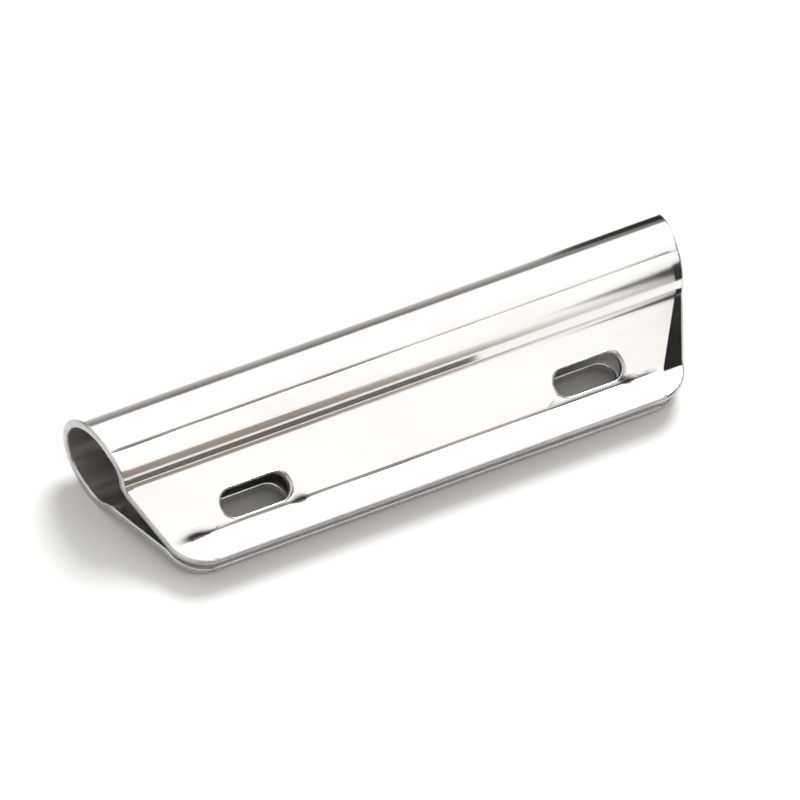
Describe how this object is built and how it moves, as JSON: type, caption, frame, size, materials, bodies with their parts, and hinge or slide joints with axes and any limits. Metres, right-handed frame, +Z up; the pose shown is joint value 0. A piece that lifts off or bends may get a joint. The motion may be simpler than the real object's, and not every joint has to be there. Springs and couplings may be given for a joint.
{
  "type": "honing guide",
  "caption": "Clip-on knife sharpening guide: folded polished steel sheet with an open roll, slotted flat panels and a flared mouth that grips the back of a blade.",
  "frame": {"origin": "middle of the bounding box on the ground, with the guide lying on its back half", "axes": "+X along the roll, -Y towards the mouth, +Z up"},
  "size_m": [0.0606, 0.0172, 0.0094],
  "materials": {
    "polished_steel": "mirror polished outside, plain mill finish inside"
  },
  "bodies": {
    "back_half": {"back_roll": "polished_steel", "back_jaw": "polished_steel"},
    "front_half": {"front_roll": "polished_steel", "front_jaw": "polished_steel"}
  },
  "joints": [
    {"name": "spine_flex", "type": "hinge", "parent": "back_half", "child": "front_half", "pos_m": [0, 0.0081, 0.00591], "axis": [-1, 0, 0], "range_deg": [0, 9], "stiffness_Nm_per_rad": 6}
  ]
}
